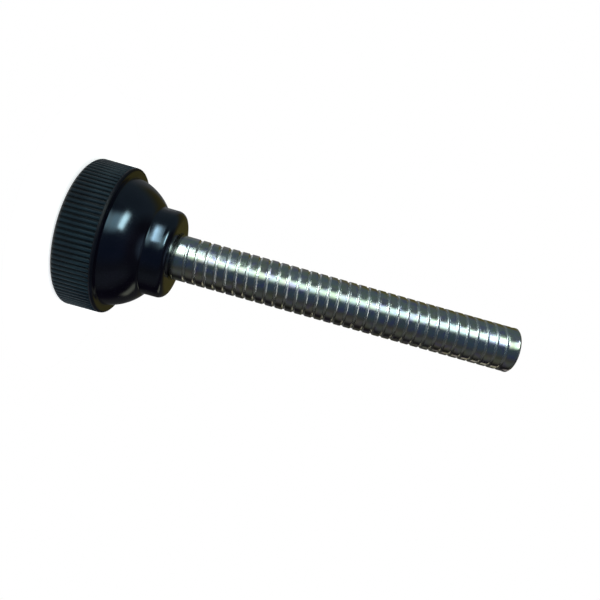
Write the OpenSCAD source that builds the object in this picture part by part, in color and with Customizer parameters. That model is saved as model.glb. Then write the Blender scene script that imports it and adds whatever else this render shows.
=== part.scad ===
// Thumb screw: a moulded knob on a threaded steel rod. It stands on the knob's flat back,
// with the origin at the middle of that face and the rod's axis along +Z.
// Lengths are in millimetres and angles in degrees.

/* [Rod] */
// Diameter over the crests of the thread
rod_d = 7.94; // [6:0.02:10]
// Length of rod that stands out of the knob
rod_len = 60.4; // [30:0.1:80]
// Plain rod between the neck and the thread
shank_len = 0.2; // [0.1:0.1:4]
// Plain rod beyond the thread, at the free end
tip_len = 0.6; // [0.5:0.1:5]
// Bevel around the free end
tip_bevel = 0.3; // [0.1:0.05:0.4]

/* [Thread] */
// Rise of the right-hand thread in one turn
pitch = 1.74; // [1.3:0.01:2.5]
// Width of the groove where it opens
groove_w = 0.64; // [0.4:0.02:1]
// Width of the groove's floor
groove_floor_w = 0.2; // [0.1:0.02:0.38]
// Depth of the groove
groove_depth = 0.2; // [0.1:0.02:0.7]
// Turns over which the groove fades in and out
fade_turns = 0.2; // [0.1:0.05:2]
// How far the crests lie below the plain rod
crest_drop = 0.04; // [0.02:0.01:0.1]
// Flat sides in one turn of the thread
turn_sides = 32; // [24:1:38]

/* [Knob rim] */
// Diameter over the flutes
rim_d = 25.4; // [23.6:0.1:32]
// Height of the rim
rim_h = 7; // [4:0.1:10]
// Number of ridges around the rim
ridge_count = 94; // [60:1:98]
// Radius of a ridge's round crest
ridge_r = 0.32; // [0.2:0.01:0.4]
// Height of a ridge above the groove beside it
ridge_h = 0.26; // [0.1:0.01:0.3]
// Radius of the rounded edge around the back
back_edge_r = 1.8; // [0.8:0.1:3]
// How far that edge's circle reaches past the ridges, which leaves a line where the ridges end
edge_reach = 0.2; // [0.1:0.05:0.4]
// Height of the smooth lip where the ridges end, on the rod's side
lip_h = 0.5; // [0.4:0.05:1.5]
// How far the lip lies below the ridges' crests
lip_drop = 0.04; // [0.02:0.01:0.2]
// Radius of the lip's outer edge
lip_edge_r = 0.35; // [0.1:0.05:0.38]

/* [Knob bell] */
// Diameter of the bell where it leaves the rim
bell_base_d = 22.4; // [18:0.1:24]
// Diameter of the bell where it meets the boss
bell_top_d = 15.7; // [15.4:0.1:20]
// Height of the bell
bell_h = 5.45; // [4:0.05:10]
// Radius of the bell's convex side
bell_side_r = 8.8; // [6:0.1:20]

/* [Knob boss] */
// Diameter of the boss around the rod
boss_d = 15.3; // [13:0.1:15.7]
// Height of the boss
boss_h = 3.9; // [2.5:0.1:8]
// Radius of the boss's front edge
boss_edge_r = 1.45; // [0.5:0.05:2]

/* [Anchor inside the knob] */
// Plastic between the knob's back and the rod's head
floor_h = 4.5; // [2:0.1:6]
// Width of the rod's hexagonal head across its flats
head_af = 12.7; // [11:0.1:16]
// Height of the head
head_h = 5; // [3:0.1:6]
// How far the neck above the head lies below the rod's surface, so that the plastic grips it
neck_drop = 0.35; // [0.2:0.05:0.6]
// How far the neck shows between the boss and the rod's full width
neck_gap = 0.25; // [0.1:0.05:1]
// How far the boss's bore stays clear of the rod's full width at its mouth
mouth_gap = 0.23; // [0.2:0.01:0.6]
// Gap between the rod and the plastic moulded around it
moulding_gap = 0; // [0:0.005:0.02]

/* [Hidden] */
$fn = 96;

rod_r = rod_d / 2;
neck_r = rod_r - neck_drop;
mouth_r = rod_r + mouth_gap;
crest_r = rod_r - crest_drop;
rim_r = rim_d / 2;
lip_r = rim_r - lip_drop;
boss_r = boss_d / 2;

// How far a cut runs past the face that it opens
cut_past = 0.2;

// Heights above the knob's back
lip_z = rim_h - lip_h;
bell_z = rim_h;
boss_z = bell_z + bell_h;
face_z = boss_z + boss_h;
shank_z = face_z + neck_gap;
thread_z = shank_z + shank_len;
thread_len = face_z + rod_len - tip_len - thread_z;
tip_z = thread_z + thread_len;

// The bell's side is an arc from its base to its top. Points are [radius, height].
bell_base = [bell_base_d / 2, bell_z];
bell_top = [bell_top_d / 2, boss_z];
bell_chord = bell_top - bell_base;
bell_out = [bell_chord[1], -bell_chord[0]] / norm(bell_chord);
bell_centre_drop = sqrt(bell_side_r ^ 2 - (norm(bell_chord) / 2) ^ 2);
bell_centre = (bell_base + bell_top) / 2 - bell_out * bell_centre_drop;

// The helix. A step is one flat side of a turn, and each step has the same few corners:
// the start and end of the land between two grooves, then both corners of the groove's floor.
least_margin = 0.05;
helix_turns = floor((thread_len - 2 * least_margin) / pitch);
groove_turns = helix_turns - 1;
groove_steps = groove_turns * turn_sides;
helix_z = thread_z + (thread_len - helix_turns * pitch) / 2;
land_w = pitch - groove_w;
wall_w = (groove_w - groove_floor_w) / 2;
step_corners = 4;

module rounded_disc(r, h, edge_r) {
    // Half section of a disc whose upper outer edge is round
    square([r, h - edge_r]);
    square([r - edge_r, h]);
    translate([r - edge_r, h - edge_r]) circle(edge_r);
}

// Outline of the ridged rim, seen along the axis
module ridge_outline() {
    circle(rim_r - ridge_h);
    for (i = [0 : ridge_count - 1])
        rotate(360 * i / ridge_count)
            translate([rim_r - ridge_r, 0]) circle(ridge_r, $fn = 24);
}

// The rim's back edge is round, and the ridges run out over it
module ridged_rim() {
    intersection() {
        linear_extrude(lip_z) ridge_outline();
        translate([0, 0, rim_h]) mirror([0, 0, 1])
            rotate_extrude() intersection() {
                rounded_disc(rim_r + edge_reach, rim_h, back_edge_r);
                square([rim_r + edge_reach, rim_h]);
            }
    }
}

module lip() {
    translate([0, 0, lip_z])
        rotate_extrude() intersection() {
            rounded_disc(lip_r, lip_h, lip_edge_r);
            square([lip_r, lip_h]);
        }
}

module bell() {
    rotate_extrude() {
        polygon([[0, bell_z], bell_base, bell_top, [0, boss_z]]);
        intersection() {
            translate([0, bell_z]) square([rim_r, bell_h]);
            translate(bell_centre) circle(bell_side_r);
        }
    }
}

module boss() {
    translate([0, 0, boss_z])
        rotate_extrude() intersection() {
            rounded_disc(boss_r, boss_h, boss_edge_r);
            square([boss_r, boss_h]);
        }
}

// The part of the rod that the knob holds: a hexagonal head and a neck narrower than the rod.
// A gap makes it larger all round, for the space that the plastic leaves.
module anchor(gap) {
    translate([0, 0, floor_h - gap])
        cylinder(d = (head_af + 2 * gap) / cos(30), h = head_h + 2 * gap, $fn = 6);
    translate([0, 0, floor_h]) cylinder(r = neck_r + gap, h = shank_z - floor_h);
}

// The mouth of the boss's bore: a cone at 45 degrees, cut from past the boss's face
module mouth() {
    bore_r = neck_r + moulding_gap;
    depth = mouth_r - bore_r;
    translate([0, 0, face_z - depth])
        cylinder(r1 = bore_r, r2 = mouth_r + cut_past, h = depth + cut_past);
}

module knob() {
    color([0.07, 0.08, 0.09]) difference() {
        union() {
            ridged_rim();
            lip();
            bell();
            boss();
        }
        anchor(moulding_gap);
        mouth();
    }
}

// The groove's depth at a step, which fades at both ends of the thread
function depth_at(i) =
    groove_depth * min(1, i / (fade_turns * turn_sides), (groove_steps - i) / (fade_turns * turn_sides));

function on_rod(i, r, z) = [r * cos(360 * i / turn_sides), r * sin(360 * i / turn_sides), z];

// The corners of one step, from the start of its land up to the groove's floor
function step_points(i) =
    let (z = helix_z + pitch * i / turn_sides, floor_r = crest_r - depth_at(i)) [
        on_rod(i, crest_r, z),
        on_rod(i, crest_r, z + land_w),
        on_rod(i, floor_r, z + land_w + wall_w),
        on_rod(i, floor_r, z + pitch - wall_w),
    ];

// The threaded stretch as one closed body. Each groove's far side ends on the land of the next
// turn, so the steps share corners, and a row of flats closes the body at either end.
module thread() {
    coil = [for (i = [0 : groove_steps]) each step_points(i)];
    last_edge = [for (i = [1 : turn_sides]) step_points(groove_steps + i)[0]];
    low_ring = [for (i = [0 : turn_sides - 1]) on_rod(i, crest_r, thread_z)];
    high_ring = [for (i = [0 : turn_sides - 1]) on_rod(groove_steps + i, crest_r, tip_z)];
    last_i = len(coil);
    low_i = last_i + turn_sides;
    high_i = low_i + turn_sides;

    // Index of the land's start at a step, and of any corner of a step
    function land(i) = i <= groove_steps ? i * step_corners : last_i + i - groove_steps - 1;
    function corner(i, j) = j < step_corners ? i * step_corners + j : land(i + turn_sides);
    function side(i) = [for (j = [step_corners : -1 : 0]) corner(i, j)];

    coil_faces = [
        for (i = [0 : groove_steps - 1], j = [0 : step_corners - 1])
            each [
                [corner(i, j), corner(i, j + 1), corner(i + 1, j + 1)],
                [corner(i, j), corner(i + 1, j + 1), corner(i + 1, j)],
            ]
    ];
    low_faces = [
        for (i = [0 : turn_sides - 2])
            [low_i + i + 1, low_i + i, land(i), land(i + 1)],
        concat([low_i + turn_sides - 1, land(turn_sides - 1)], side(0), [low_i]),
    ];
    high_faces = [
        concat([land(groove_steps + 1)], [for (j = [0 : step_corners]) corner(groove_steps, j)],
            [high_i, high_i + 1]),
        for (i = [1 : turn_sides - 1])
            [land(groove_steps + i), high_i + i, high_i + (i + 1) % turn_sides,
                land(groove_steps + i + 1)],
    ];
    low_end = [for (i = [0 : turn_sides - 1]) low_i + i];
    high_end = [for (i = [turn_sides - 1 : -1 : 0]) high_i + i];

    polyhedron(
        points = concat(coil, last_edge, low_ring, high_ring),
        faces = concat(coil_faces, low_faces, high_faces, [low_end], [high_end]),
        convexity = 10
    );
}

module threaded_stud() {
    color([0.72, 0.73, 0.75]) {
        anchor(0);
        translate([0, 0, shank_z]) cylinder(r = rod_r, h = shank_len);
        thread();
        translate([0, 0, tip_z]) {
            cylinder(r = rod_r, h = tip_len - tip_bevel);
            translate([0, 0, tip_len - tip_bevel])
                cylinder(r1 = rod_r, r2 = rod_r - tip_bevel, h = tip_bevel);
        }
    }
}

knob();
threaded_stud();
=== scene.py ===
import math

import bpy
from mathutils import Matrix, Vector


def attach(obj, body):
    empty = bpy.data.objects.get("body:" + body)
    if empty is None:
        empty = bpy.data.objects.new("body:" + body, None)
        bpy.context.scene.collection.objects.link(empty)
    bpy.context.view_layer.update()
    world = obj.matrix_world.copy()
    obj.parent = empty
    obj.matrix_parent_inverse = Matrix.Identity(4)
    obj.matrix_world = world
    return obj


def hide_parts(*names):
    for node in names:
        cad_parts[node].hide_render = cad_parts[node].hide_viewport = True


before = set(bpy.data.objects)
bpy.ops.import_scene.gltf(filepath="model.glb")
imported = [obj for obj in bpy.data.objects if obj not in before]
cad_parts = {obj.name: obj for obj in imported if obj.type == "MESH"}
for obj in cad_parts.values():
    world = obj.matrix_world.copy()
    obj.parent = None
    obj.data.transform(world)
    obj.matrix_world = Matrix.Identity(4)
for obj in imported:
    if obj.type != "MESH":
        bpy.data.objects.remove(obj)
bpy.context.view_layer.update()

MM = 0.001
TAU = 2 * math.pi

# ---------------------------------------------------------------- sizes, in mm
# They repeat the values of part.scad.
ROD_R = 7.94 / 2
ROD_LEN = 60.4
SHANK_LEN = 0.2
TIP_LEN = 0.6
TIP_BEVEL = 0.3
CREST_DROP = 0.04
PITCH = 1.74
GROOVE_W = 0.64
GROOVE_DEPTH = 0.2
FADE_TURNS = 0.2
LEAST_MARGIN = 0.05

RIM_R = 12.7
RIM_H = 7.0
RIDGES = 94
RIDGE_R = 0.32
RIDGE_H = 0.26
BACK_EDGE_R = 1.8
EDGE_REACH = 0.2
LIP_H = 0.5
LIP_DROP = 0.04
LIP_EDGE_R = 0.35
BELL_BASE_R = 11.2
BELL_TOP_R = 7.85
BELL_H = 5.45
BELL_SIDE_R = 8.8
BOSS_R = 7.65
BOSS_H = 3.9
BOSS_EDGE_R = 1.45

FLOOR_Z = 4.5
HEAD_AF = 12.7
HEAD_H = 5.0
NECK_DROP = 0.35
NECK_GAP = 0.25
MOUTH_GAP = 0.23

CREST_R = ROD_R - CREST_DROP
NECK_R = ROD_R - NECK_DROP
MOUTH_R = ROD_R + MOUTH_GAP
LIP_R = RIM_R - LIP_DROP
RIDGE_ROOT_R = RIM_R - RIDGE_H
RIDGE_CENTRE_R = RIM_R - RIDGE_R
LAND_W = PITCH - GROOVE_W

# Heights above the knob's back
HEAD_TOP_Z = FLOOR_Z + HEAD_H
LIP_Z = RIM_H - LIP_H
BOSS_Z = RIM_H + BELL_H
FACE_Z = BOSS_Z + BOSS_H
SHANK_Z = FACE_Z + NECK_GAP
THREAD_Z = SHANK_Z + SHANK_LEN
END_Z = FACE_Z + ROD_LEN
BEVEL_Z = END_Z - TIP_BEVEL
TIP_Z = END_Z - TIP_LEN
THREAD_LEN = TIP_Z - THREAD_Z
HELIX_TURNS = math.floor((THREAD_LEN - 2 * LEAST_MARGIN) / PITCH)
GROOVE_TURNS = HELIX_TURNS - 1
HELIX_Z = THREAD_Z + (THREAD_LEN - HELIX_TURNS * PITCH) / 2

# The render's own detail on the rod: small roundings that part.scad leaves as sharp edges
SHANK_EASE = 0.06
CREST_EASE = 0.05
TIP_EASE = 0.04
LAND_EASE = 0.04
BEVEL_LOW_EASE = (0.03, 0.02)
BEVEL_HIGH_EASE = (0.05, 0.04)
GROOVE_ROUNDING = 1.3
GROOVE_ROWS = 18
ROD_COLUMNS = 96
END_RINGS = (0.6, 0.2)
ROD_SHARP_DEG = 38

# The render's own detail on the knob
BACK_RING_RS = (3.0, 8.0)
RIDGE_RING_ZS = (3.2, 4.7, 6.2)
RIDGE_END_DROP = 0.05
LIP_EDGE_DROP = 0.01
LIP_RING_REACH = 0.5
BELL_FOOT_R = 0.05
BELL_FOOT_SHARE = 0.35
# Where the bell runs into the boss: reach past the boss's side, and height from the junction
JUNCTION = ((0.17, -0.03), (0.07, 0.04), (0.02, 0.14), (0.0, 0.3))
BOSS_RING_Z = 13.6
FACE_RING_R = 5.0
MOUTH_EASE = 0.04
BACK_EDGE_STEPS = 12
LIP_EDGE_STEPS = 6
BELL_STEPS = 26
BOSS_EDGE_STEPS = 14
COLUMNS_PER_RIDGE = 12
KNOB_SHARP_DEG = 40
# The ridges and the lip are satin from this radius outward
SATIN_FROM_R = 12.2


# ---------------------------------------------------------------- mesh helpers
def make_piece(name, points, faces, material, sharp_deg):
    """One closed, smooth-shaded mesh from points in mm."""
    mesh = bpy.data.meshes.new(name)
    mesh.from_pydata([(x * MM, y * MM, z * MM) for x, y, z in points], [], faces)
    mesh.polygons.foreach_set("use_smooth", [True] * len(mesh.polygons))
    mesh.set_sharp_from_angle(angle=math.radians(sharp_deg))
    mesh.materials.append(material)
    obj = bpy.data.objects.new(name, mesh)
    bpy.context.scene.collection.objects.link(obj)
    return obj


class Body:
    """Collects points and faces. Rings run counter-clockwise seen from +Z."""

    def __init__(self):
        self.points = []
        self.faces = []

    def point(self, r, angle, z):
        self.points.append((r * math.cos(angle), r * math.sin(angle), z))
        return len(self.points) - 1

    def ring(self, columns, radius_at, z):
        """A ring whose radius is a number or a function of the angle."""
        at = radius_at if callable(radius_at) else (lambda angle: radius_at)
        return [
            self.point(at(TAU * i / columns), TAU * i / columns, z)
            for i in range(columns)
        ]

    def centre(self, z):
        return self.point(0, 0, z)

    def fan(self, middle, ring, up):
        for i, a in enumerate(ring):
            b = ring[(i + 1) % len(ring)]
            self.faces.append((middle, a, b) if up else (middle, b, a))

    def band(self, low, high):
        """Quads between two rings, facing outward where high lies above low."""
        for i in range(len(low)):
            j = (i + 1) % len(low)
            self.faces.append((low[i], low[j], high[j], high[i]))

    def bands(self, rings):
        for low, high in zip(rings, rings[1:]):
            self.band(low, high)


def arc(centre_r, centre_z, radius, from_deg, to_deg, steps):
    """Points (r, z) on an arc, angles from +r towards +z."""
    out = []
    for i in range(steps + 1):
        t = math.radians(from_deg + (to_deg - from_deg) * i / steps)
        out.append((centre_r + radius * math.cos(t), centre_z + radius * math.sin(t)))
    return out


def head_radius(angle):
    """Radius of the hexagonal head's outline."""
    return HEAD_AF / 2 / math.cos((angle + TAU / 12) % (TAU / 6) - TAU / 12)


# ---------------------------------------------------------------- rod
def groove_profile():
    """Offsets (z, depth 0..1) across one groove: rounded shoulders and a rounded root."""
    out = []
    for i in range(GROOVE_ROWS + 1):
        w = -1 + 2 * i / GROOVE_ROWS
        out.append((w * GROOVE_W / 2, (1 - w * w) ** GROOVE_ROUNDING))
    return out


def smooth(x):
    x = min(1.0, max(0.0, x))
    return x * x * (3 - 2 * x)


def rod_body():
    n = ROD_COLUMNS
    body = Body()
    bottom = body.ring(n, head_radius, FLOOR_Z)
    body.fan(body.centre(FLOOR_Z), bottom, up=False)
    rings = [bottom, body.ring(n, head_radius, HEAD_TOP_Z)]
    for r, z in (
        (NECK_R, HEAD_TOP_Z),
        (NECK_R, SHANK_Z - SHANK_EASE),
        (NECK_R + SHANK_EASE, SHANK_Z),
        (ROD_R - SHANK_EASE, SHANK_Z),
        (ROD_R, SHANK_Z + SHANK_EASE),
        (ROD_R, THREAD_Z - CREST_EASE),
        (CREST_R, THREAD_Z),
    ):
        rings.append(body.ring(n, r, z))
    body.bands(rings)
    low = rings[-1]

    # One turn's rows: the land, then the groove, whose last row is the next turn's first
    rows = [(z, 0.0) for z in (0.0, LAND_EASE, LAND_W / 2, LAND_W - LAND_EASE)]
    rows += [(LAND_W + GROOVE_W / 2 + w, depth) for w, depth in groove_profile()[:-1]]
    m = len(rows)
    total = GROOVE_TURNS * m

    def helix_point(i, k):
        turn, row = divmod(k, m)
        offset, depth = rows[row]
        turns = turn + i / n
        fade = smooth(turns / FADE_TURNS) * smooth((GROOVE_TURNS - turns) / FADE_TURNS)
        z = HELIX_Z + PITCH * (turns + offset / PITCH)
        return body.point(CREST_R - GROOVE_DEPTH * depth * fade, TAU * i / n, z)

    # A column of points at each angle. The first column is one turn longer, as the last
    # column's rows meet it one turn further on.
    grid = [
        [helix_point(i, k) for k in range(total + 1 + (m if i == 0 else 0))]
        for i in range(n)
    ]
    for i in range(n - 1):
        for k in range(total):
            body.faces.append((grid[i][k], grid[i + 1][k], grid[i + 1][k + 1], grid[i][k + 1]))
    for k in range(total):
        body.faces.append(
            (grid[n - 1][k], grid[0][k + m], grid[0][k + m + 1], grid[n - 1][k + 1])
        )
    for i in range(n - 1):
        body.faces.append((low[i], low[i + 1], grid[i + 1][0], grid[i][0]))
    body.faces.append([low[n - 1], low[0]] + grid[0][: m + 1] + [grid[n - 1][0]])

    high = body.ring(n, CREST_R, TIP_Z)
    for i in range(1, n - 1):
        body.faces.append((grid[i][total], grid[i + 1][total], high[i + 1], high[i]))
    body.faces.append((grid[n - 1][total], grid[0][total + m], high[0], high[n - 1]))
    body.faces.append(
        [grid[0][total], grid[1][total], high[1], high[0]]
        + grid[0][total + 1 : total + m + 1][::-1]
    )
    rings = [high]
    end_r = ROD_R - TIP_BEVEL
    for r, z in (
        (ROD_R, TIP_Z + TIP_EASE),
        (ROD_R, BEVEL_Z - TIP_EASE),
        (ROD_R - BEVEL_LOW_EASE[0], BEVEL_Z + BEVEL_LOW_EASE[1]),
        (end_r + BEVEL_HIGH_EASE[0], END_Z - BEVEL_HIGH_EASE[1]),
        (end_r, END_Z),
        *((ROD_R * share, END_Z) for share in END_RINGS),
    ):
        rings.append(body.ring(n, r, z))
    body.bands(rings)
    body.fan(body.centre(END_Z), rings[-1], up=True)
    return body


# ---------------------------------------------------------------- knob
def ridge_radius(angle):
    """Radius of the ridged outline: round ridges on a round root."""
    span = TAU / RIDGES
    off = abs((angle + span / 2) % span - span / 2)
    across = RIDGE_CENTRE_R * math.sin(off)
    if across >= RIDGE_R:
        return RIDGE_ROOT_R
    crest = RIDGE_CENTRE_R * math.cos(off) + math.sqrt(RIDGE_R ** 2 - across ** 2)
    return max(RIDGE_ROOT_R, crest)


def bell_arc():
    """The bell's side, an arc from its base to its top."""
    base, top = (BELL_BASE_R, RIM_H), (BELL_TOP_R, BOSS_Z)
    dr, dz = top[0] - base[0], top[1] - base[1]
    chord = math.hypot(dr, dz)
    drop = math.sqrt(BELL_SIDE_R ** 2 - chord ** 2 / 4)
    centre_r = (base[0] + top[0]) / 2 - dz / chord * drop
    centre_z = (base[1] + top[1]) / 2 + dr / chord * drop
    start = math.degrees(math.atan2(base[1] - centre_z, base[0] - centre_r))
    stop = math.degrees(math.atan2(top[1] - centre_z, top[0] - centre_r))
    return arc(centre_r, centre_z, BELL_SIDE_R, start, stop, BELL_STEPS)


def knob_body():
    n = RIDGES * COLUMNS_PER_RIDGE
    body = Body()

    # The flat back, its round edge that the ridges run out over, and the ridges
    rings = [body.ring(n, r, 0) for r in BACK_RING_RS]
    body.fan(body.centre(0), rings[0], up=False)
    back_edge = arc(
        RIM_R + EDGE_REACH - BACK_EDGE_R, BACK_EDGE_R, BACK_EDGE_R, -90, 0, BACK_EDGE_STEPS
    )
    for r, z in back_edge:
        rings.append(body.ring(n, lambda angle, r=r: min(r, ridge_radius(angle)), z))
    for z in (*RIDGE_RING_ZS, LIP_Z - RIDGE_END_DROP):
        rings.append(body.ring(n, ridge_radius, z))

    # The lip, the bell and the boss
    profile = [(LIP_R, LIP_Z), (LIP_R, RIM_H - LIP_EDGE_R - LIP_EDGE_DROP)]
    profile += arc(
        LIP_R - LIP_EDGE_R, RIM_H - LIP_EDGE_R, LIP_EDGE_R, 0, 90, LIP_EDGE_STEPS
    )
    foot = BELL_FOOT_R * BELL_FOOT_SHARE
    profile += [(BELL_BASE_R + LIP_RING_REACH, RIM_H), (BELL_BASE_R + BELL_FOOT_R, RIM_H)]
    profile += [(BELL_BASE_R + foot, RIM_H + foot)]
    profile += bell_arc()[1:-1]
    profile += [(BOSS_R + reach, BOSS_Z + height) for reach, height in JUNCTION]
    profile += [(BOSS_R, BOSS_RING_Z)]
    profile += arc(
        BOSS_R - BOSS_EDGE_R, FACE_Z - BOSS_EDGE_R, BOSS_EDGE_R, 0, 90, BOSS_EDGE_STEPS
    )

    # The mouth, the neck's bore and the room for the head
    profile += [(FACE_RING_R, FACE_Z), (MOUTH_R + MOUTH_EASE, FACE_Z)]
    profile += [(MOUTH_R, FACE_Z - MOUTH_EASE), (NECK_R, FACE_Z - MOUTH_R + NECK_R)]
    profile += [(NECK_R, HEAD_TOP_Z)]
    rings += [body.ring(n, r, z) for r, z in profile]
    rings += [body.ring(n, head_radius, z) for z in (HEAD_TOP_Z, FLOOR_Z)]
    body.bands(rings)
    body.fan(body.centre(FLOOR_Z), rings[-1], up=True)
    return body


# ---------------------------------------------------------------- node helpers
def new_tree(owner):
    owner.use_nodes = True
    tree = owner.node_tree
    tree.nodes.clear()
    return tree


def fill(tree, socket, value):
    """Links a socket to another node's output, or sets its value."""
    if isinstance(value, bpy.types.NodeSocket):
        tree.links.new(value, socket)
    else:
        socket.default_value = value


def node(tree, kind, inputs=None, **settings):
    made = tree.nodes.new(kind)
    for key, value in settings.items():
        setattr(made, key, value)
    for key, value in (inputs or {}).items():
        fill(tree, made.inputs[key], value)
    return made


def noise(tree, scale, detail=3.0, roughness=0.5):
    """Noise in object space, with its scale on each axis in features per millimetre."""
    return node(
        tree, "ShaderNodeTexNoise",
        {"Vector": mapped(tree, scale), "Scale": 1.0, "Detail": detail, "Roughness": roughness},
    ).outputs["Fac"]


def stretch(tree, value, low, high, to_low, to_high, smoothstep=False):
    """Maps the range low..high to to_low..to_high, and stays within it."""
    return node(
        tree, "ShaderNodeMapRange",
        {"Value": value, "From Min": low, "From Max": high, "To Min": to_low, "To Max": to_high},
        interpolation_type="SMOOTHSTEP" if smoothstep else "LINEAR",
    ).outputs["Result"]


def math_node(tree, operation, a, b=0.0):
    return node(tree, "ShaderNodeMath", {0: a, 1: b}, operation=operation).outputs[0]


# The colour sockets of a Mix node, which shares its names between data types
MIX_FACTOR, MIX_A, MIX_B, MIX_RESULT = 0, 6, 7, 2


def mix_colour(tree, factor, a, b, blend="MIX"):
    return node(
        tree, "ShaderNodeMix", {MIX_FACTOR: factor, MIX_A: a, MIX_B: b},
        data_type="RGBA", blend_type=blend,
    ).outputs[MIX_RESULT]


def mapped(tree, scale):
    """Object coordinates in millimetres, times a scale on each axis."""
    coords = node(tree, "ShaderNodeTexCoord").outputs["Object"]
    return node(
        tree, "ShaderNodeMapping",
        {"Vector": coords, "Scale": tuple(s / MM for s in scale)},
    ).outputs["Vector"]


def bump(tree, height, distance, strength, normal=None):
    inputs = {"Height": height, "Distance": distance, "Strength": strength}
    if normal is not None:
        inputs["Normal"] = normal
    return node(tree, "ShaderNodeBump", inputs).outputs["Normal"]


def finish_material(tree, shader):
    node(tree, "ShaderNodeOutputMaterial", {"Surface": shader.outputs[0]})


def outward_distance(tree):
    """Distance from the rod's axis in millimetres."""
    return node(
        tree, "ShaderNodeVectorMath", {0: mapped(tree, (1, 1, 0))}, operation="LENGTH"
    ).outputs["Value"]


# ---------------------------------------------------------------- materials
# Noise scales are in features per millimetre on each axis. A span is the stretch of a
# noise's values over which its effect sets in.
WIDE_SPAN = (0.3, 0.7)

MARK_SCALE = (0.12, 0.12, 9.0)
PATCH_SCALE, PATCH_SPAN = (0.35, 0.35, 0.3), (0.35, 0.65)
SPECK_SCALE, SPECK_SPAN = (3.0, 3.0, 3.0), (0.55, 0.75)
TINT_SCALE, VIOLET_SPAN, GREEN_SPAN = (0.8, 0.8, 0.7), (0.52, 0.66), (0.48, 0.34)
STEEL_WARM = (0.72, 0.68, 0.6, 1)
STEEL_COOL = (0.58, 0.65, 0.67, 1)
STEEL_VIOLET = (0.5, 0.46, 0.76, 1)
STEEL_GREEN = (0.62, 0.7, 0.5, 1)
STEEL_SPECK = (0.5, 0.5, 0.46, 1)
# Paler steel in the grooves: a painted highlight
GROOVE_PAINTED_HIGHLIGHT = (0.8, 0.82, 0.8, 1)
TINT_STRENGTH = 0.7
SPECK_STRENGTH = 0.35
MARK_ROUGHNESS = (0.13, 0.2)
PATCH_ROUGHNESS = (-0.02, 0.04)
GROOVE_ROUGHNESS = 0.09
# How far below the crests a point counts as in a groove: first partly, then fully
GROOVE_TONE_DROPS = (0.03, 0.1)
MARK_DEPTH, MARK_STRENGTH = 0.003 * MM, 0.3
SPECK_DEPTH, SPECK_BUMP = 0.001 * MM, 0.2


def steel_material():
    """Bright plated steel: fine marks round the rod, patchy tint and gloss, and paler grooves as
    a painted highlight.
    """
    mat = bpy.data.materials.new("plated_steel")
    tree = new_tree(mat)
    marks = noise(tree, MARK_SCALE, detail=4.0, roughness=0.65)
    patches = noise(tree, PATCH_SCALE)
    specks = noise(tree, SPECK_SCALE, detail=4.0, roughness=0.6)
    tints = noise(tree, TINT_SCALE, detail=2.0)

    cool = stretch(tree, patches, *PATCH_SPAN, 0.0, 1.0)
    violet = stretch(tree, tints, *VIOLET_SPAN, 0.0, TINT_STRENGTH)
    green = stretch(tree, tints, *GREEN_SPAN, 0.0, TINT_STRENGTH)
    specked = stretch(tree, specks, *SPECK_SPAN, 0.0, SPECK_STRENGTH)
    colour = mix_colour(tree, cool, STEEL_WARM, STEEL_COOL)
    colour = mix_colour(tree, violet, colour, STEEL_VIOLET)
    colour = mix_colour(tree, green, colour, STEEL_GREEN)
    colour = mix_colour(tree, specked, colour, STEEL_SPECK)

    # The grooves get a paler colour, a painted highlight for the window light they catch, and
    # they scatter more than the crests
    partly, fully = (CREST_R - drop for drop in GROOVE_TONE_DROPS)
    in_groove = stretch(tree, outward_distance(tree), partly, fully, 0.0, 1.0)
    colour = mix_colour(tree, in_groove, colour, GROOVE_PAINTED_HIGHLIGHT)
    rough = math_node(
        tree, "ADD", stretch(tree, marks, *WIDE_SPAN, *MARK_ROUGHNESS),
        stretch(tree, patches, *WIDE_SPAN, *PATCH_ROUGHNESS),
    )
    rough = math_node(
        tree, "ADD", rough, math_node(tree, "MULTIPLY", in_groove, GROOVE_ROUGHNESS)
    )
    speck_normal = bump(tree, specks, SPECK_DEPTH, SPECK_BUMP)
    shader = node(
        tree, "ShaderNodeBsdfPrincipled",
        {
            "Base Color": colour, "Metallic": 1.0, "Roughness": rough,
            "Normal": bump(tree, marks, MARK_DEPTH, MARK_STRENGTH, speck_normal),
        },
    )
    finish_material(tree, shader)
    return mat


PLASTIC_IOR = 1.55
MOTTLE_SCALE, MOTTLE_SPAN = (0.3, 0.3, 0.3), (0.35, 0.7)
GRAIN_SCALE, GRAIN_SPAN = (6.0, 6.0, 6.0), (0.55, 0.8)
MOTTLE_ROUGHNESS = 0.06
GRAIN_ROUGHNESS = 0.06
MOTTLE_DEPTH, MOTTLE_STRENGTH = 0.02 * MM, 0.25
GRAIN_DEPTH, GRAIN_STRENGTH = 0.003 * MM, 0.3
# Painted shade between the ridges and painted highlight on their crests, as shares of the
# plastic's colour
RIDGE_SHADE_AND_HIGHLIGHT = (0.3, 1.5)
WHITE = (1, 1, 1, 1)


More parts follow.
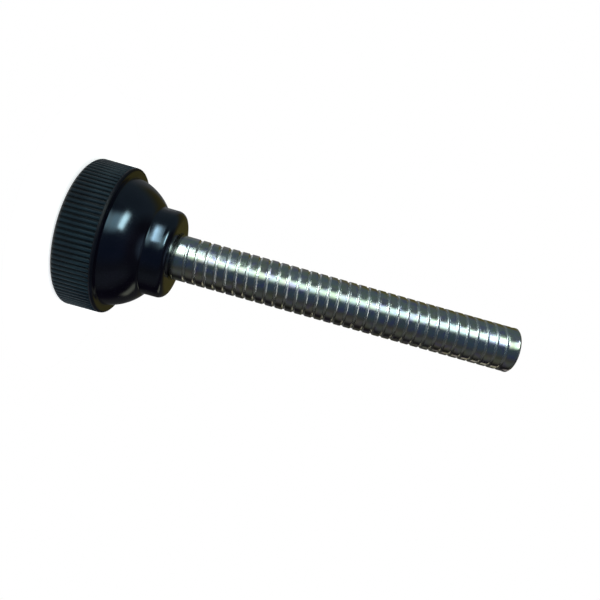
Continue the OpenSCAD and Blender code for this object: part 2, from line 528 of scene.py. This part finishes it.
def plastic_material(name, low, high, smoothest, specular, tint=WHITE, ridged=False):
    """Black moulded plastic with faint mottling and a fine grain. Its colour lies between
    low and high, and smoothest is its least roughness. On the ridged rim it gets painted
    shade between the ridges and a painted highlight on their crests."""
    mat = bpy.data.materials.new(name)
    tree = new_tree(mat)
    mottle = noise(tree, MOTTLE_SCALE, detail=4.0)
    grain = noise(tree, GRAIN_SCALE, detail=4.0, roughness=0.6)
    colour = mix_colour(tree, stretch(tree, mottle, *MOTTLE_SPAN, 0.0, 1.0), low, high)
    if ridged:
        # Painted shade between the ridges and painted highlight on their crests
        painted_ridge_light = stretch(tree, outward_distance(tree), RIDGE_ROOT_R, RIM_R, *RIDGE_SHADE_AND_HIGHLIGHT)
        colour = mix_colour(tree, 1.0, colour, painted_ridge_light, blend="MULTIPLY")
    roughest = smoothest + MOTTLE_ROUGHNESS
    rough = math_node(
        tree, "ADD", stretch(tree, mottle, *WIDE_SPAN, smoothest, roughest),
        stretch(tree, grain, *GRAIN_SPAN, 0.0, GRAIN_ROUGHNESS),
    )
    grain_normal = bump(tree, grain, GRAIN_DEPTH, GRAIN_STRENGTH)
    shader = node(
        tree, "ShaderNodeBsdfPrincipled",
        {
            "Base Color": colour, "Roughness": rough, "IOR": PLASTIC_IOR,
            "Specular IOR Level": specular, "Specular Tint": tint,
            "Normal": bump(tree, mottle, MOTTLE_DEPTH, MOTTLE_STRENGTH, grain_normal),
        },
    )
    finish_material(tree, shader)
    return mat


rod = rod_body()
stud = make_piece("stud_dressed", rod.points, rod.faces, steel_material(), ROD_SHARP_DEG)
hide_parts("threaded_stud")
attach(stud, "root")

moulding = knob_body()
gloss_plastic = plastic_material(
    "gloss_plastic", low=(0.001, 0.0006, 0.0022, 1), high=(0.002, 0.0012, 0.0038, 1),
    smoothest=0.12, specular=0.9, tint=(0.6, 0.8, 1.0, 1),
)
satin_plastic = plastic_material(
    "satin_plastic", low=(0.0015, 0.0062, 0.0105, 1), high=(0.004, 0.0115, 0.0165, 1),
    smoothest=0.4, specular=0.1, ridged=True,
)
edge_plastic = plastic_material(
    "edge_plastic", low=(0.001, 0.0015, 0.0035, 1), high=(0.002, 0.0025, 0.006, 1),
    smoothest=0.4, specular=0.15,
)
knob = make_piece(
    "knob_dressed", moulding.points, moulding.faces, gloss_plastic, KNOB_SHARP_DEG
)
knob.data.materials.append(satin_plastic)
knob.data.materials.append(edge_plastic)
SATIN_INDEX, EDGE_INDEX = 1, 2
for face in knob.data.polygons:
    if face.center.xy.length > SATIN_FROM_R * MM:
        face.material_index = SATIN_INDEX if face.center.z < LIP_Z * MM else EDGE_INDEX
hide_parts("knob")
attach(knob, "root")

# ---------------------------------------------------------------- camera
# Directions at the camera's azimuth: towards it, sideways, and along the rod.
CAMERA_AZIMUTH = math.radians(64.6)
TOWARDS = Vector((math.cos(CAMERA_AZIMUTH), math.sin(CAMERA_AZIMUTH), 0))
SIDE = Vector((-math.sin(CAMERA_AZIMUTH), math.cos(CAMERA_AZIMUTH), 0))
ALONG = Vector((0, 0, 1))


def from_camera_axes(towards, side, along):
    return TOWARDS * towards + SIDE * side + ALONG * along


SENSOR = 36.0
LENS = 33.07
NEAREST, FARTHEST = 0.005, 20
# The camera's distance from the rod's axis and its height, in mm
CAMERA_DISTANCE = 95.34
CAMERA_HEIGHT = 36.29
# The picture's right and down, and the way the camera looks
right = from_camera_axes(0.02133, -0.26994, 0.96264)
down = from_camera_axes(0.02176, 0.96276, 0.26949)
forward = from_camera_axes(-0.99954, 0.01520, 0.02641)
camera_data = bpy.data.cameras.new("camera")
camera_data.sensor_width = SENSOR
camera_data.lens = LENS
camera_data.clip_start = NEAREST
camera_data.clip_end = FARTHEST
camera = bpy.data.objects.new("camera", camera_data)
bpy.context.scene.collection.objects.link(camera)
turn = Matrix((right, -down, -forward)).transposed().to_4x4()
stand = from_camera_axes(CAMERA_DISTANCE, 0, CAMERA_HEIGHT) * MM
camera.matrix_world = Matrix.Translation(stand) @ turn
bpy.context.scene.camera = camera

# ---------------------------------------------------------------- floor
FLOOR_R = 24
FLOOR_SIDES = 96
FLOOR_SHARP_DEG = 30
FLOOR_COLOUR = (0.8, 0.8, 0.8, 1)
# What the lit floor lacks to be white
FLOOR_GLOW = 0.66


def seen_directly(tree):
    """Two outputs: 1 for camera rays, and 1 for glossy or transmission rays."""
    path = node(tree, "ShaderNodeLightPath").outputs
    reflected = math_node(
        tree, "MAXIMUM", path["Is Glossy Ray"], path["Is Transmission Ray"]
    )
    return path["Is Camera Ray"], reflected


def floor_material():
    """Pale floor. It is white to the camera and in reflections, and keeps the shadow."""
    mat = bpy.data.materials.new("floor")
    tree = new_tree(mat)
    seen = math_node(tree, "MAXIMUM", *seen_directly(tree))
    glow = node(
        tree, "ShaderNodeEmission",
        {"Color": WHITE, "Strength": math_node(tree, "MULTIPLY", seen, FLOOR_GLOW)},
    )
    matt = node(tree, "ShaderNodeBsdfDiffuse", {"Color": FLOOR_COLOUR})
    both = node(tree, "ShaderNodeAddShader", {0: glow.outputs[0], 1: matt.outputs[0]})
    finish_material(tree, both)
    return mat


def make_floor():
    body = Body()
    disc = body.ring(FLOOR_SIDES, FLOOR_R, 0)
    floor = make_piece("floor", body.points, [disc], floor_material(), FLOOR_SHARP_DEG)


# ---------------------------------------------------------------- lamps
# They aim at the object's middle, this far above the floor in mm
AIM_Z = 36


def area_light(name, round_deg, along_deg, distance, half_wide, half_high, radiance):
    """A lamp that only lights matt surfaces, and has no reflection. Its place is an angle
    round the rod, from the camera towards image-up, and an angle along it. Its half sizes
    are seen angles."""
    a, e = math.radians(round_deg), math.radians(along_deg)
    direction = from_camera_axes(
        math.cos(a) * math.cos(e), -math.sin(a) * math.cos(e), math.sin(e)
    )
    data = bpy.data.lights.new(name, "AREA")
    data.shape = "RECTANGLE"
    data.size = 2 * distance * math.tan(math.radians(half_wide))
    data.size_y = 2 * distance * math.tan(math.radians(half_high))
    peak = max(radiance)
    data.energy = peak * math.pi * data.size * data.size_y
    data.color = [value / peak for value in radiance]
    lamp = bpy.data.objects.new(name, data)
    bpy.context.scene.collection.objects.link(lamp)
    lamp.visible_glossy = False
    across = (SIDE - direction * SIDE.dot(direction)).normalized()
    axes = Matrix((across, direction.cross(across), direction)).transposed().to_4x4()
    place = ALONG * AIM_Z * MM + direction * distance
    lamp.matrix_world = Matrix.Translation(place) @ axes


def make_lamps():
    """One lamp above the free end and one from image-down."""
    area_light(
        "soft_top", round_deg=0, along_deg=88, distance=0.7, half_wide=45, half_high=45,
        radiance=(0.75, 0.75, 0.75),
    )
    area_light(
        "soft_low", round_deg=-75, along_deg=8, distance=0.5, half_wide=35, half_high=35,
        radiance=(1.9, 2.1, 2.2),
    )


# ---------------------------------------------------------------- surroundings
# The room that reflections show. Spans are in degrees: where a zone starts, where it is
# full, where it fades and where it ends. They are turned round the rod, from the camera
# towards image-up, or raised along it, towards the free end.
ROOM = (0.05, 0.05, 0.045, 1)
# Bands round the rod, from image-up to image-down
ROOM_BANDS = (
    ((0.085, 0.115, 0.125), (40, 70, 200, 210)),
    ((0.036, 0.056, 0.086), (-60, -25, 40, 70)),
    ((0.075, 0.077, 0.073), (-95, -80, -70, -55)),
    ((0.012, 0.011, 0.012), (-135, -120, -105, -92)),
)
# The wall behind the object, grey below and olive above, with the angles between the two
WALL_LOW, WALL_HIGH = (0.15, 0.155, 0.155, 1), (0.105, 0.09, 0.025, 1)
WALL_RISE = (-2, 8)
# Where the wall starts and is full, as parts of a direction towards the camera and image-up
WALL_BACK, WALL_UP = (-0.4, -0.7), (-0.5, -0.1)
# A pale strip at image-down, which shows low on the bell
STRIP, STRIP_TURNED, STRIP_RAISED = (0.6, 0.56, 0.4), (-136, -131, -125, -120), (13, 21, 37, 44)
# Beyond the free end: dark, with a bluish light at its middle for the grooves
FAR, FAR_RAISED = (0.03, 0.03, 0.03), (45, 60)
FAR_LIGHT, FAR_LIGHT_RAISED = (0.21, 0.25, 0.3), (72, 82)
# A small window behind the object, seen from its other side
BACK_WINDOW = (0.5, 0.53, 0.56)
BACK_WINDOW_TURNED, BACK_WINDOW_RAISED = (136, 145, 154, 162), (-42, -34, -17, -11)
# The big window, which the rod and the bell show. It leans: it sits further round where
# it is further along. Each pane has its colour and where it is raised.
LEAN_RAISED, LEAN_TURNED = (-8, 27), (0.0, 9.5)
PANE_TURNED = (-1, 23, 28, 45)
PANES = (
    ((1.35, 1.6, 1.48), (-12, -11, 26, 27)),
    ((1.35, 1.85, 1.9), (4, 14, 26, 27)),
)
# The same window's bright edges: the first shows on the boss, the second as the bell's
# bright streak. Each has its colour, then where it is turned and where it is raised.
BRIGHT_EDGES = (
    ((9.8, 12.0, 12.4), (19, 25, 49, 74), (-23, -19, -13.2, -12.4)),
    ((10.5, 12.4, 11.4), (19, 26, 45, 64), (24, 27.5, 33.5, 38.5)),
)
# The white background, which metal shows low behind the object
BACKDROP_BACK, BACKDROP_RAISED = (-0.85, -0.92), (-14, -18)


def make_world():
    """The camera sees white. Reflections show a dim room with a big window in front, an
    olive wall and a small window behind, and the white background low behind the object."""
    world = bpy.data.worlds.new("room")
    bpy.context.scene.world = world
    tree = new_tree(world)
    direction = node(tree, "ShaderNodeTexCoord").outputs["Generated"]

    def facing(vector):
        return node(
            tree, "ShaderNodeVectorMath", {0: direction, 1: tuple(vector)},
            operation="DOT_PRODUCT",
        ).outputs["Value"]

    def degrees(operation, *values):
        return math_node(tree, "MULTIPLY", math_node(tree, operation, *values), 360 / TAU)

    def both(a, b):
        return math_node(tree, "MULTIPLY", a, b)

    def between(value, span):
        """Rises smoothly over the span's start and falls over its end."""
        start, full, fading, stop = span
        return both(
            stretch(tree, value, start, full, 0.0, 1.0, smoothstep=True),
            stretch(tree, value, fading, stop, 1.0, 0.0, smoothstep=True),
        )

    def beyond(value, span):
        return stretch(tree, value, *span, 0.0, 1.0)

    def over(base, colour, factor):
        return mix_colour(tree, factor, base, (*colour, 1))

    front = facing(from_camera_axes(1, 0, 0))
    up = facing(from_camera_axes(0, -1, 0))
    turned = degrees("ARCTAN2", up, front)
    raised = degrees("ARCSINE", facing(from_camera_axes(0, 0, 1)))

    room = ROOM
    for colour, span in ROOM_BANDS:
        room = over(room, colour, between(turned, span))
    wall = mix_colour(tree, beyond(raised, WALL_RISE), WALL_LOW, WALL_HIGH)
    on_wall = both(beyond(front, WALL_BACK), beyond(up, WALL_UP))
    room = mix_colour(tree, on_wall, room, wall)
    room = over(room, STRIP, both(between(turned, STRIP_TURNED), between(raised, STRIP_RAISED)))
    room = over(room, FAR, beyond(raised, FAR_RAISED))
    room = over(room, FAR_LIGHT, beyond(raised, FAR_LIGHT_RAISED))
    in_back_window = both(
        between(turned, BACK_WINDOW_TURNED), between(raised, BACK_WINDOW_RAISED)
    )
    room = over(room, BACK_WINDOW, in_back_window)

    lean = stretch(tree, raised, *LEAN_RAISED, *LEAN_TURNED)
    in_pane = between(math_node(tree, "SUBTRACT", turned, lean), PANE_TURNED)
    for colour, span in PANES:
        room = over(room, colour, both(in_pane, between(raised, span)))
    for colour, round_span, along_span in BRIGHT_EDGES:
        room = over(room, colour, both(between(turned, round_span), between(raised, along_span)))

    backdrop = both(beyond(front, BACKDROP_BACK), beyond(raised, BACKDROP_RAISED))
    camera_ray, reflected = seen_directly(tree)
    white = math_node(tree, "MAXIMUM", camera_ray, both(reflected, backdrop))
    colour = mix_colour(tree, white, room, WHITE)
    background = node(tree, "ShaderNodeBackground", {"Color": colour, "Strength": 1.0})
    node(tree, "ShaderNodeOutputWorld", {"Surface": background.outputs[0]})


make_floor()
make_lamps()
make_world()
bpy.context.scene.view_settings.view_transform = "Standard"
